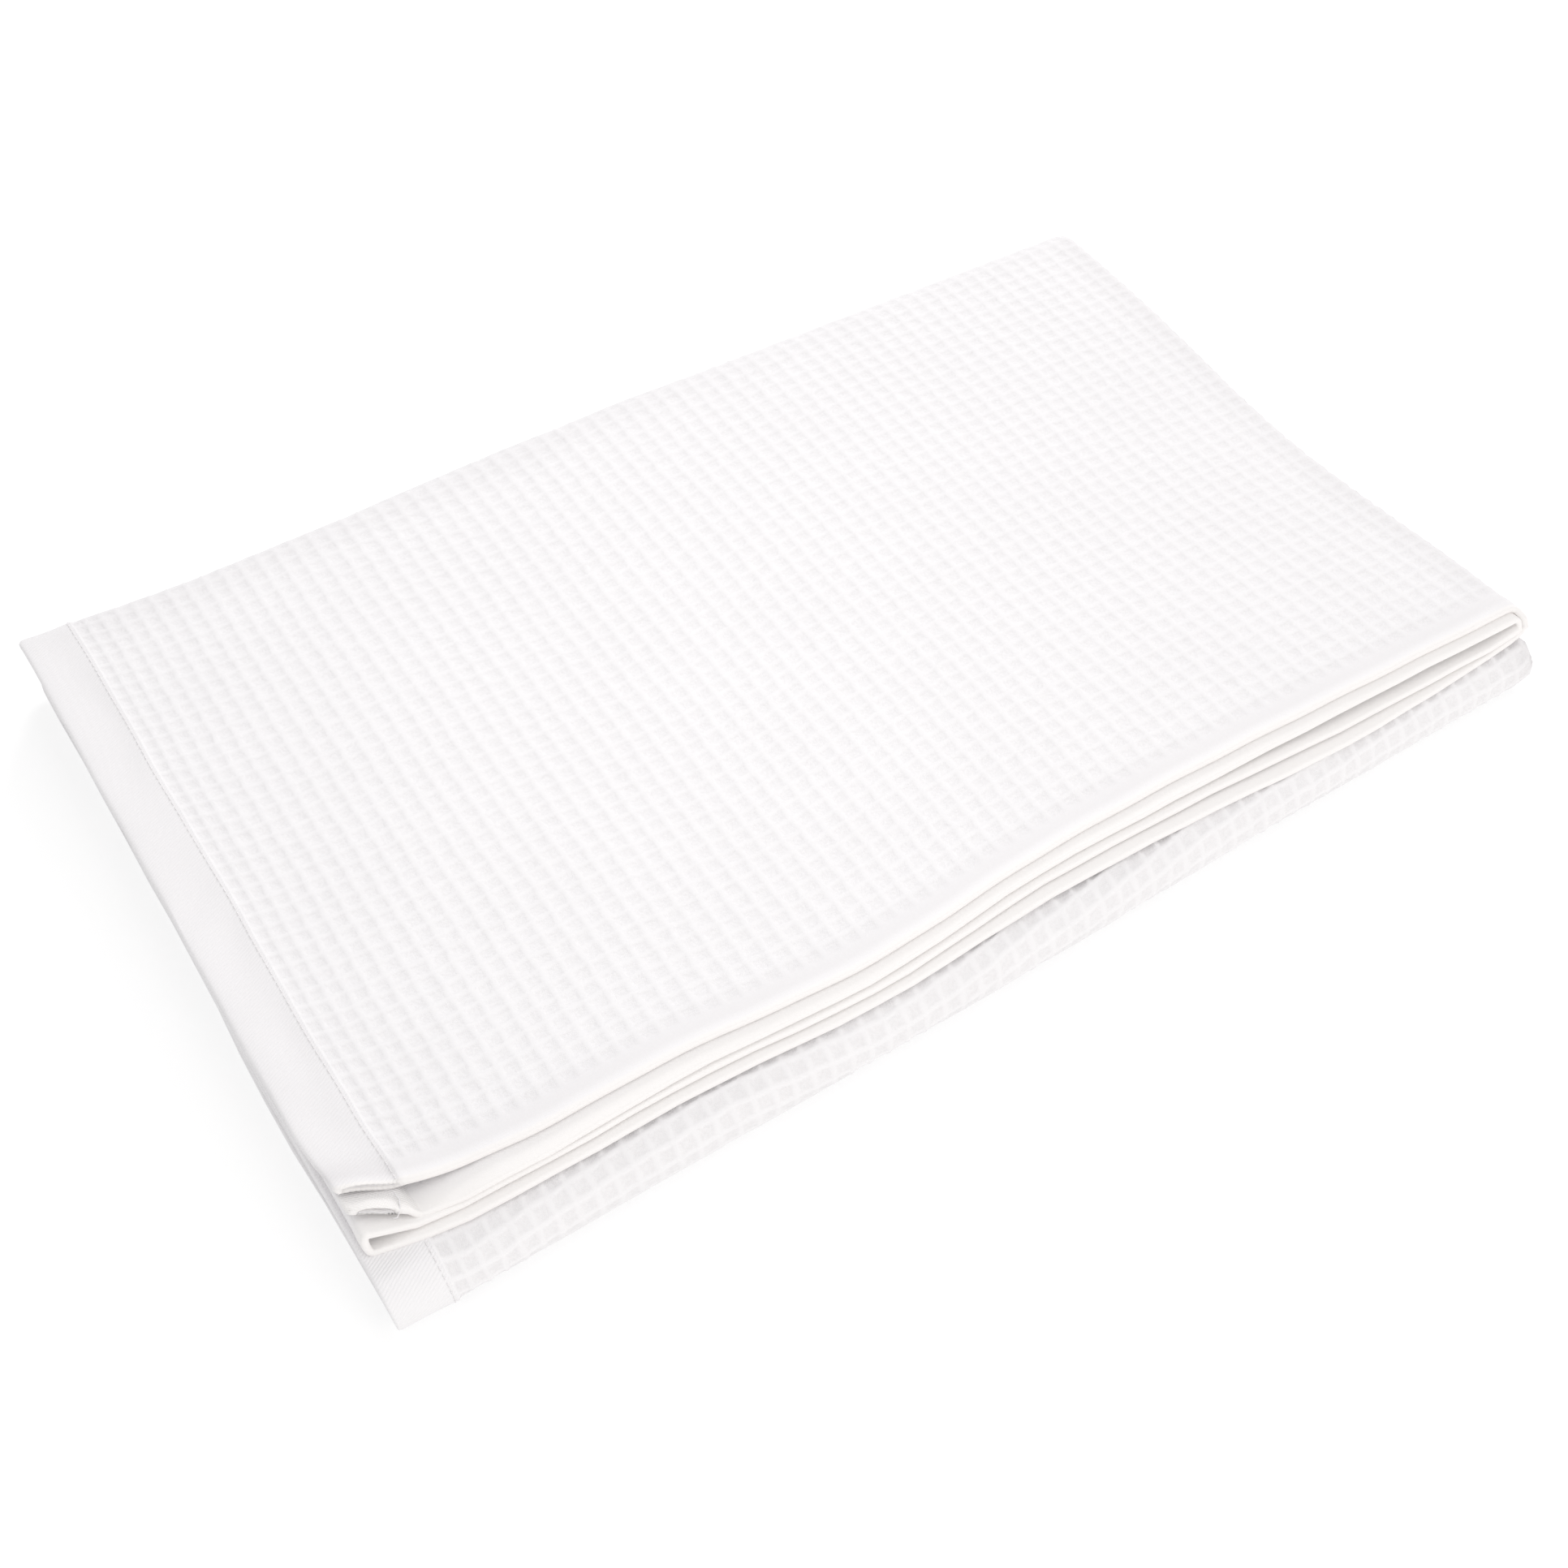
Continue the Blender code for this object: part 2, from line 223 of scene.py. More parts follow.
# Wide lines of the mesh
WIDE_HEM_SHARES = (0.0, 0.06, 0.12, 0.2, 0.3, 0.4, 0.5, 0.58, 0.66, 0.74, 0.84, 0.94, 1.0)
WIDE_STEP = 0.0155
WIDE_FOLD_STEPS = 5
WIDE_ROWS = (               # stretches across the cloth and the facets in each
    ("border", 2), ("top", 5), ("back", 7), ("bottom", 3), ("front", 7), ("middle", 4),
)
RIM_ANGLES = (28, 68, 112, 152)  # degrees round the cut edge, from the outer face to the inner one
RIM_BULGE = 0.9             # how far the cut edge bulges, as a share of half the cloth's thickness

# Floor: half its side, its height, its tone near the sheet, darker there as painted shade, and further out,
# and its glow
FLOOR_REACH, FLOOR_LEVEL = 40.0, -0.0003
FLOOR_NEAR, FLOOR_FAR = 0.28, 0.80
FLOOR_NEAR_PAINTED_SHADE, FLOOR_FAR_TONE = 0.44, 0.52
FLOOR_GLOW = 0.58

# Studio light: strength of the world's light low and high up, and the softboxes with their name, place, aim,
# size, power, colour and spread in degrees
HORIZON, ZENITH = 0.65, 1.02
SOFTBOXES = (
    ("overhead_softbox", (-0.04, -0.03, 0.70), (-0.04, -0.03, 0), 0.25, 0.052, (1.0, 0.995, 0.99), 60),
    ("back_right_softbox", (0.95, 1.45, 0.90), (0, 0, 0), 0.6, 14.0, (1.0, 0.99, 1.0), 180),
    ("front_softbox", (0.30, -1.9, 0.70), (0, 0, 0), 1.4, 12.0, (1.0, 0.98, 0.95), 180),
)

# Camera of the photograph, in the sheet's frame
CAMERA_PLACE = (-0.3207, -0.5282, 0.6436)
CAMERA_RIGHT = (0.85071, -0.52549, -0.01199)
CAMERA_UP = (0.39896, 0.63068, 0.66563)
CAMERA_LENS, CAMERA_SENSOR = 51.45, 36.0


def column(name, columns, table):
    """One named column of a table, as an array."""
    return np.array([row[columns.index(name)] for row in table])


def edge(name, x):
    """Smooth curve through one column of EDGES, read at x."""
    knots = column("x", EDGE_COLUMNS, EDGES)
    values = column(name, EDGE_COLUMNS, EDGES)
    slopes = np.gradient(values, knots)
    x = np.clip(x, knots[0], knots[-1])
    i = np.clip(np.searchsorted(knots, x, side="right") - 1, 0, len(knots) - 2)
    width = knots[i + 1] - knots[i]
    t = (x - knots[i]) / width
    start = (1 + 2 * t) * (1 - t) ** 2 * values[i] + t * (1 - t) ** 2 * width * slopes[i]
    stop = t ** 2 * (3 - 2 * t) * values[i + 1] - t ** 2 * (1 - t) * width * slopes[i + 1]
    return start + stop


def smooth(value, low, high):
    """0 below low, 1 above high, and an even ease between them."""
    t = np.clip((value - low) / (high - low), 0.0, 1.0)
    return t * t * (3 - 2 * t)


def run_length(row):
    """Length of cloth in one row of RUNS."""
    x_from, x_to, layer_from, layer_to = row
    turn = pi * abs(layer_to - layer_from) / 2 * SPACING
    return turn + abs(x_to - x_from)


def along(u):
    """x and layer of the section at u from the first hem's edge."""
    x = np.zeros_like(u)
    layer = np.zeros_like(u)
    start = 0.0
    for number, row in enumerate(RUNS):
        x_from, x_to, layer_from, layer_to = row
        share = (u - start) / run_length(row)
        side = 1 if x_from > 0 else -1
        radius = abs(layer_to - layer_from) / 2 * SPACING
        x_here = x_from + (x_to - x_from) * share + side * radius * np.sin(pi * share)
        layer_here = (layer_from + layer_to) / 2 + (layer_from - layer_to) / 2 * np.cos(pi * share)
        here = u >= start if number else np.ones_like(u, dtype=bool)
        x = np.where(here, x_here, x)
        layer = np.where(here, layer_here, layer)
        start += run_length(row)
    return x, layer


SECTION_LENGTH = sum(run_length(row) for row in RUNS)


def lip_line(x, layer):
    """How far forward the top panel's selvage lies, for any layer of the section."""
    lips = [edge(name, x) for name in ("lip_4", "lip_3", "lip_2", "lip_1")]
    low = np.clip(np.floor(layer).astype(int), 0, LAYERS - 2)
    share = layer - low
    return np.choose(low, lips[:-1]) * (1 - share) + np.choose(low, lips[1:]) * share


def back_edge(x):
    """Where the panels end and the back turn begins, for every layer."""
    return edge("back_turn", x) - (BACK_RADIUS + LAYERS - 1) * SPACING - SHEET / 2


def front_edge(x):
    """Where the lower panels end and the front turn begins, for every layer."""
    return -edge("front_turn", x) + (FRONT_RADIUS + LAYERS - 1) * SPACING + SHEET / 2


def stretch_ends(x, layer):
    """How far from the front selvage, along the cloth, each stretch across the folded sheet ends."""
    back, front, lip = back_edge(x), front_edge(x), -lip_line(x, layer)
    top = back - lip
    turned_back = top + pi * (BACK_RADIUS + layer) * SPACING
    bottom = turned_back + back - front
    turned_front = bottom + pi * (FRONT_RADIUS + layer) * SPACING
    return top, turned_back, bottom, turned_front


def across(x, layer, v):
    """y and z of the cloth at v from its front selvage."""
    back, front, lip = back_edge(x), front_edge(x), -lip_line(x, layer)
    top, turned_back, bottom, turned_front = stretch_ends(x, layer)
    back_radius = (BACK_RADIUS + layer) * SPACING
    front_radius = (FRONT_RADIUS + layer) * SPACING
    back_angle = (v - top) / back_radius
    front_angle = (v - bottom) / front_radius
    floor = SHEET / 2
    back_middle = floor + (TOP_BASE + BOTTOM_BASE) / 2 * SPACING
    front_middle = floor + (MIDDLE_BASE + BOTTOM_BASE) / 2 * SPACING
    where = [v < top, v < turned_back, v < bottom, v < turned_front]
    y = np.select(where, [
        lip + v,
        back + back_radius * np.sin(back_angle),
        back - (v - turned_back),
        front - front_radius * np.sin(front_angle),
    ], front + v - turned_front)
    z = np.select(where, [
        floor + (TOP_BASE + layer) * SPACING,
        back_middle + back_radius * np.cos(back_angle),
        floor + (BOTTOM_BASE - layer) * SPACING,
        front_middle - front_radius * np.cos(front_angle),
    ], floor + (MIDDLE_BASE + layer) * SPACING)
    return y, z, v < top


def settle(x, y, z, layer, on_top):
    """The soft unevenness of the stack: its uneven ends, its dips, and the sag at the front."""
    lowness = 1 - z / (TOP_BASE + LAYERS) / SPACING
    inset = LOWER_INSET - LOWER_BULGE * np.exp(-((y - BULGE_AT) / BULGE_REACH) ** 2)
    x = x + (1 - smooth(x, LEFT_END, 0.0)) * lowness * inset
    waist = WAIST * np.exp(-((y - WAIST_AT) / WAIST_REACH) ** 2)
    x = x - smooth(x, 0.0, RIGHT_END) * waist
    height = np.ones_like(z)
    for row in DIPS:
        dip = dict(zip(DIP_COLUMNS, row))
        away = ((x - dip["x"]) / dip["reach_x"]) ** 2 + ((y - dip["y"]) / dip["reach_y"]) ** 2
        height = height - dip["depth"] * np.exp(-away)
    along_sag = smooth(x, SAG_FROM, SAG_FULL) * (1 - smooth(x, SAG_FADE, RIGHT_END))
    front = -edge("lip_4", x)
    sag = SAG * along_sag * (1 - smooth(y, front, front + SAG_REACH))
    lower = np.where(on_top, 1 - smooth(layer, 1.0, 2.0), 1.0)
    height = height - lower * sag / ((TOP_BASE + 1) * SPACING)
    from_lip = y + lip_line(x, layer)
    raised = np.zeros_like(z)
    for row in LIFTS:
        lift = dict(zip(LIFT_COLUMNS, row))
        share = smooth(x, lift["start"], lift["full"]) * (1 - smooth(x, lift["fall"], lift["stop"]))
        share = share * (1 - smooth(from_lip, 0.0, lift["behind"]))
        raised = raised + share * np.interp(layer, range(LAYERS), lift["by_layer"])
    z = z * height + np.where(on_top, raised, 0.0)
    sunk = BORDER_SAG * (1 - smooth(from_lip, 0.001, BORDER_WIDTH)) * smooth(layer, 2.0, 3.0)
    z = z - np.where(on_top, sunk, 0.0)
    into_corner = np.clip((y - (edge("back_turn", x) - CORNER_RADIUS)) / CORNER_RADIUS, 0.0, 1.0)
    rounded = CORNER_RADIUS * (1 - np.sqrt(1 - CORNER_ROUND * into_corner ** 2))
    drawn_in = CORNER_DRAW * (1 - smooth(from_lip, 0.0, CORNER_REACH)) * smooth(layer, 1.0, 2.0)
    drawn_in = np.where(on_top, drawn_in, 0.0)
    x = x + (rounded + drawn_in) * (1 - smooth(x, LEFT_END, LEFT_END + CORNER_FADE))
    return x, y, z


def pulled(u):
    """Where a place along the cloth comes to lie, once the hem's seam has drawn the first cells together."""
    past_seam = np.maximum(u - HEM_WIDTH, 0.0)
    return u - SQUEEZE * (1 - np.exp(-past_seam / SQUEEZE_REACH)) * (1 - smooth(u, *SQUEEZE_FADE))


def swing(place, pitch, start=0.0):
    """A sine wave of the given pitch along a place in metres."""
    return np.sin(2 * pi * place / pitch + start)


def drift(u, v):
    """The slight waviness of the yarns, which moves places along and across the cloth."""
    shift_u = BROAD_DRIFT * swing(v, 0.121, 0.7) * swing(u, 0.163, 0.4)
    shift_u = shift_u + DRIFT_ALONG * swing(v, 0.047, 2.1)
    shift_v = BROAD_DRIFT * swing(u, 0.097, 1.3) * swing(v, 0.142, 0.2)
    shift_v = shift_v + DRIFT_ACROSS * swing(u, 0.041, 0.9)
    woven = smooth(u, HEM_WIDTH, HEM_WIDTH + 2 * CELL_ALONG)
    woven = woven * smooth(v, BORDER_WIDTH, BORDER_WIDTH + 2 * CELL_ACROSS)
    shift_u = shift_u + CELL_DRIFT * woven * swing(v, 0.0137, 3.0 * swing(u, 0.031))
    shift_v = shift_v + CELL_DRIFT * woven * swing(u, 0.0163, 2.5 * swing(v, 0.027))
    return u + shift_u, v + shift_v


def middle(u, v):
    """Points in the middle of the cloth's thickness, at u along and v across it."""
    u, v = np.broadcast_arrays(np.asarray(u, float), np.asarray(v, float))
    u, v = drift(pulled(u), v)
    x, layer = along(u)
    y, z, on_top = across(x, layer, v)
    return np.stack(settle(x, y, z, layer, on_top), axis=-1)


def slopes(u, v, reach=0.0004):
    """Unit directions along the cloth and across it, and the unit normal of its outer face."""
    ahead = middle(u + reach, v) - middle(u - reach, v)
    aside = middle(u, v + reach) - middle(u, v - reach)
    normal = np.cross(ahead, aside)
    return [d / np.linalg.norm(d, axis=-1, keepdims=True) for d in (ahead, aside, normal)]


def half_thickness(u, v):
    """Half the cloth's thickness, with its plain borders and its hems."""
    from_hem = np.minimum(u, SECTION_LENGTH - u)
    from_selvage = np.minimum(v, CLOTH_WIDTH - v)
    plain = SELVAGE + (SHEET - SELVAGE) * smooth(from_selvage, 0.8 * BORDER_WIDTH, 1.05 * BORDER_WIDTH)
    hem = 1 - smooth(from_hem, 0.90 * HEM_WIDTH, 0.98 * HEM_WIDTH)
    puff = MOUTH_PUFF * mouth(u) * (1 - smooth(v, 0.0, 1.5 * MOUTH_DEPTH))
    return (plain + (HEM - plain) * hem) / 2 + puff


def mouth(u):
    """How open the end of a hem is, from 0 beside it to 1 in its middle."""
    upper = (u / HEM_WIDTH - UPPER_MOUTH[0]) / UPPER_MOUTH[1]
    lower = ((SECTION_LENGTH - u) / HEM_WIDTH - LOWER_MOUTH[0]) / LOWER_MOUTH[1]
    share = np.where(u < SECTION_LENGTH / 2, upper, lower)
    return np.sqrt(np.sin(pi * np.clip(share, 0.0, 1.0)))


def hem_relief(u, v):
    """Creases, troughs and the seam of the first hem, in metres above its plain face."""
    height = np.zeros_like(u)
    for row in CREASES:
        crease = dict(zip(CREASE_COLUMNS, row))
        past = v - crease["v"]
        aside = u - crease["share"] * HEM_WIDTH - crease["slant"] * past
        share = np.exp(-(aside / crease["reach_u"]) ** 2 - (past / crease["reach_v"]) ** 2)
        height = height - crease["depth"] * share
    height = height * (1 - smooth(u, 0.80 * HEM_WIDTH, 0.95 * HEM_WIDTH))
    groove = np.exp(-((u - SEAM_AT * HEM_WIDTH) / SEAM_WIDTH) ** 2)
    ridge_width = np.where(u < HEM_WIDTH, RIDGE_SLOPE * SEAM_WIDTH, SEAM_WIDTH)
    ridge = np.exp(-((u - HEM_WIDTH) / ridge_width) ** 2)
    return height - SEAM_GROOVE * groove + SEAM_RIDGE * ridge


def face_points(u, v, side):
    """Points on the cloth's outer face, with side 1, or on its inner face, with side -1."""
    u, v = np.broadcast_arrays(u, v)
    normal = slopes(u, v)[2]
    away = half_thickness(u, v) + (hem_relief(u, v) if side > 0 else 0.0)
    return middle(u, v) + side * normal * away[..., None]


def cells(first, count, size, shares):
    """Lines at the given shares of each of count cells, from first on."""
    return (first + size * (np.arange(count)[:, None] + np.array(shares))).ravel()


def close_lines_along():
    """Positions along the cloth of the close lines: over the hem, the top and round the outer fold."""
    fold_end = sum(run_length(row) for row in RUNS[:2])
    count = int(np.ceil((fold_end - HEM_WIDTH) / CELL_ALONG))
    hem = HEM_WIDTH * np.array(HEM_SHARES)
    waffle = cells(HEM_WIDTH, count, CELL_ALONG, CELL_SHARES)
    return np.concatenate([hem, waffle, [HEM_WIDTH + count * CELL_ALONG]])


def close_lines_across():
    """Positions across the cloth of the close lines, and where the waffle stops for the floor and goes on."""
    knots = np.linspace(LEFT_END, RIGHT_END, 60)
    outermost = np.full_like(knots, LAYERS - 1)
    top, turned_back, bottom, turned_front = stretch_ends(knots, outermost)
    back_rows = int(np.ceil((turned_back.max() - BORDER_WIDTH) / CELL_ACROSS))
    front_first = int(np.floor((bottom.min() - BORDER_WIDTH) / CELL_ACROSS))
    front_rows = int(np.ceil((turned_front.max() - BORDER_WIDTH) / CELL_ACROSS)) - front_first
    under_from = BORDER_WIDTH + back_rows * CELL_ACROSS
    under_to = BORDER_WIDTH + front_first * CELL_ACROSS
    last = under_to + front_rows * CELL_ACROSS
    lines = np.concatenate([
        BORDER_WIDTH * np.array(BORDER_SHARES),
        cells(BORDER_WIDTH, back_rows, CELL_ACROSS, CELL_SHARES),
        np.linspace(under_from, under_to, UNDER_LINES, endpoint=False),
        cells(under_to, front_rows, CELL_ACROSS, FRONT_CELL_SHARES),
        [last],
    ])
    return lines, (under_from, under_to)


def wide_lines_along():
    """Positions along the cloth of the wide lines: steps in each run, facets in each fold."""
    lines = list(HEM_WIDTH * np.array(WIDE_HEM_SHARES[:-1]))
    start = 0.0
    for number, row in enumerate(RUNS):
        length = run_length(row)
        first = start + HEM_WIDTH if number == 0 else start
        stop = start + length - (HEM_WIDTH if number == len(RUNS) - 1 else 0.0)
        folded = row[2] != row[3]
        steps = WIDE_FOLD_STEPS if folded else max(1, round((stop - first) / WIDE_STEP))
        lines += list(np.linspace(first, stop, steps, endpoint=False))
        start += length
    lines += list(SECTION_LENGTH - HEM_WIDTH * np.array(WIDE_HEM_SHARES[::-1]))
    return np.array(lines)


def wide_rows_across(u):
    """Positions across the cloth of the wide rows, one row of the table for each wide line along it."""
    x, layer = along(u)
    top, turned_back, bottom, turned_front = stretch_ends(x, layer)
    selvage = np.zeros_like(top)
    ends = {
        "border": (selvage, selvage + BORDER_WIDTH),
        "top": (selvage + BORDER_WIDTH, top),
        "back": (top, turned_back),
        "bottom": (turned_back, bottom),
        "front": (bottom, turned_front),
        "middle": (turned_front, selvage + CLOTH_WIDTH),
    }
    rows = [selvage]
    for place, facets in WIDE_ROWS:
        first, stop = ends[place]
        rows += [first + (stop - first) * step / facets for step in range(1, facets + 1)]
    return np.stack(rows, axis=1)


def zip_strip(first, second):
    """Triangles between two chains of (place, point), both in rising order of place."""
    faces = []
    i = j = 0
    while i < len(first) - 1 or j < len(second) - 1:
        second_done = j == len(second) - 1
        if second_done or (i < len(first) - 1 and first[i + 1][0] <= second[j + 1][0]):
            faces.append((first[i][1], first[i + 1][1], second[j][1]))
            i += 1
        else:
            faces.append((first[i][1], second[j + 1][1], second[j][1]))
            j += 1
    return faces


class ClothMesh:
    """Points of the cloth with their places in it, and its faces."""

    def __init__(self):
        self.points, self.places, self.relief = [], [], []
        self.count = 0
        self.faces, self.inner = [], []

    def add_points(self, points, u, v, relief):
        """Adds points and returns their numbers, in the same shape as u."""
        u, v, relief = np.broadcast_arrays(u, v, relief)
        numbers = self.count + np.arange(u.size).reshape(u.shape)
        self.points.append(points.reshape(-1, 3))
        self.places.append(np.stack([u.ravel(), v.ravel()], axis=1))
        self.relief.append(relief.ravel())
        self.count += u.size
        return numbers

    def add_faces(self, faces, inner):
        self.faces += [tuple(int(k) for k in face) for face in faces]
        self.inner += [inner] * len(faces)

    def add_grid(self, numbers, inner, skip=lambda i, j: False):
        rows, columns = numbers.shape
        faces = []
        for i in range(rows - 1):
            for j in range(columns - 1):
                if skip(i, j):
                    continue
                quad = (numbers[i, j], numbers[i + 1, j], numbers[i + 1, j + 1], numbers[i, j + 1])
                faces.append(quad[::-1] if inner else quad)
        self.add_faces(faces, inner)

    def place(self, number):
        return self.all_places[number]

    def close_points(self):
        self.all_places = np.concatenate(self.places)


def perimeter_share(side, u, v):
    """How far round the cloth's edge a point lies, from 0 to 4."""
    shares = (u / SECTION_LENGTH, v / CLOTH_WIDTH, 1 - u / SECTION_LENGTH, 1 - v / CLOTH_WIDTH)
    return side + shares[side]


def rim_points(loop_u, loop_v, sides, angle):
    """One ring round the cut edge: angle 0 is the outer face, 180 the inner one."""
    ahead, aside, normal = slopes(loop_u, loop_v)
    outward = np.stack([-aside, ahead, aside, -ahead], axis=0)[sides, np.arange(len(sides))]
    half = half_thickness(loop_u, loop_v)[:, None]
    turn = radians(angle)
    bulge = half * RIM_BULGE * sin(turn)
    if angle in MOUTH_RINGS:
        open_end = np.where(sides == 0, mouth(loop_u), 0.0)[:, None]
        bulge = bulge * (1 - open_end) - MOUTH_DEPTH * MOUTH_RINGS[angle] * open_end
    return middle(loop_u, loop_v) + outward * bulge + normal * half * cos(turn)


def build_cloth():
    """The folded cloth as one closed shell, still without its waffle relief."""
    cloth = ClothMesh()
    close_u = close_lines_along()
    close_v, under = close_lines_across()
    wide_u = wide_lines_along()
    wide_v = wide_rows_across(wide_u)

    uu, vv = np.meshgrid(close_u, close_v, indexing="ij")
    relief = smooth(uu, HEM_WIDTH * 0.97, HEM_WIDTH) * smooth(vv, *WAFFLE_FADE)
    past_floor = smooth(vv, under[1], under[1] + CELL_ACROSS)
    relief = relief * (1 - smooth(vv, under[0] - CELL_ACROSS, under[0]) * (1 - past_floor))
    relief = relief * (1 - smooth(vv, close_v[-1] - CELL_ACROSS, close_v[-1]))
    close = cloth.add_points(face_points(uu, vv, 1), uu, vv, relief)

    first_i = int(np.searchsorted(wide_u, close_u[-1] + 0.002))
    first_j = int(np.argmax((wide_v > close_v[-1] + 0.002).all(axis=0)))
    wide_uu = np.broadcast_to(wide_u[:, None], wide_v.shape)
    outer = cloth.add_points(face_points(wide_uu, wide_v, 1), wide_uu, wide_v, 0.0)
    inner = cloth.add_points(face_points(wide_uu, wide_v, -1), wide_uu, wide_v, 0.0)
    cloth.close_points()

    cloth.add_grid(close, False)
    cloth.add_grid(outer, False, skip=lambda i, j: i < first_i and j < first_j)
    cloth.add_grid(inner, True)

    corner_u, corner_v = close_u[-1], close_v[-1]
    close_chain = [(v / corner_v, close[-1, j]) for j, v in enumerate(close_v)]
    close_chain += [(2 - u / corner_u, close[i, -1]) for i, u in reversed(list(enumerate(close_u[:-1])))]
    side_v = wide_v[first_i, :first_j + 1]
    wide_chain = [(v / side_v[-1], outer[first_i, j]) for j, v in enumerate(side_v)]
    far_u = wide_u[first_i]
    wide_chain += [(2 - wide_u[i] / far_u, outer[i, first_j]) for i in range(first_i - 1, -1, -1)]
    cloth.add_faces([face[::-1] for face in zip_strip(close_chain, wide_chain)], False)

    last_i, last_j = len(wide_u) - 1, wide_v.shape[1] - 1
    round_outer = [(0, n) for n in close[:, 0]]
    round_outer += [(0, outer[i, 0]) for i in range(first_i, last_i)]
    round_outer += [(1, outer[last_i, j]) for j in range(0, last_j)]
    round_outer += [(2, outer[i, last_j]) for i in range(last_i, 0, -1)]
    round_outer += [(3, outer[0, j]) for j in range(last_j, first_j - 1, -1)]
    round_outer += [(3, n) for n in close[0, :0:-1]]
    sides = np.array([side for side, _ in round_outer])
    loop = np.array([number for _, number in round_outer])
    loop_u, loop_v = cloth.all_places[loop].T

    rings = [loop]
    for angle in RIM_ANGLES:
        points = rim_points(loop_u, loop_v, sides, angle)
        rings.append(cloth.add_points(points, loop_u, loop_v, 0.0))
    cloth.close_points()
    for number, (ring, following) in enumerate(zip(rings, rings[1:])):
        turned, turned_following = np.roll(ring, -1), np.roll(following, -1)
        quads = list(zip(turned, ring, following, turned_following))
        cloth.add_faces(quads, number > 1)

    last_ring = [(perimeter_share(s, *cloth.place(n)), n) for s, n in zip(sides, rings[-1])]
    last_ring.append((4.0, rings[-1][0]))
    round_inner = [(0, inner[i, 0]) for i in range(last_i)]
    round_inner += [(1, inner[last_i, j]) for j in range(last_j)]
    round_inner += [(2, inner[i, last_j]) for i in range(last_i, 0, -1)]
    round_inner += [(3, inner[0, j]) for j in range(last_j, 0, -1)]
    inner_ring = [(perimeter_share(s, *cloth.place(n)), n) for s, n in round_inner]
    inner_ring.append((4.0, inner[0, 0]))
    cloth.add_faces([face[::-1] for face in zip_strip(last_ring, inner_ring)], True)
    return cloth


def bake_places(places, inner):
    """Places in the cloth as places in one square image, with the faces that show given the most room."""
    u = np.interp(places[:, 0], (0.0, 0.52, SECTION_LENGTH), (0.0, 0.82, 1.0))
    v = np.interp(places[:, 1], (0.0, 0.36, 0.62, 0.69, CLOTH_WIDTH), (0.0, 0.56, 0.60, 0.72, 0.76))
    hidden = 0.78 + 0.22 * places[:, 1] / CLOTH_WIDTH
    return np.stack([u, np.where(inner, hidden, v)], axis=1)


def cloth_object(name, material):
    """The cloth's mesh as an object, with its places in metres as an attribute and a map for bakes."""
    cloth = build_cloth()
    points = np.concatenate(cloth.points)
    points[points[:, 2] < FLAT_BELOW, 2] = 0.0
    mesh = bpy.data.meshes.new(name)
    mesh.from_pydata(points.tolist(), [], cloth.faces)
    places = cloth.all_places
    corners = np.zeros(len(mesh.loops), dtype=int)
    mesh.loops.foreach_get("vertex_index", corners)
    inner = np.repeat(np.array(cloth.inner), [len(face) for face in cloth.faces])
    bake_map = mesh.uv_layers.new(name="OFBake")
    bake_map.uv.foreach_set("vector", bake_places(places[corners], inner).astype(np.float32).ravel())
    in_metres = mesh.attributes.new("cloth", "FLOAT_VECTOR", "POINT")
    flat = np.concatenate([places, np.zeros((len(places), 1))], axis=1)
    in_metres.data.foreach_set("vector", flat.astype(np.float32).ravel())
    relief = mesh.attributes.new("relief", "FLOAT", "POINT")
    relief.data.foreach_set("value", np.concatenate(cloth.relief).astype(np.float32))
    mesh.shade_smooth()
    mesh.materials.append(material)
    return placed(name, mesh)


def placed(name, data):
    """A new object that holds the given data, in the scene."""
    item = bpy.data.objects.new(name, data)
    bpy.context.scene.collection.objects.link(item)
    return item


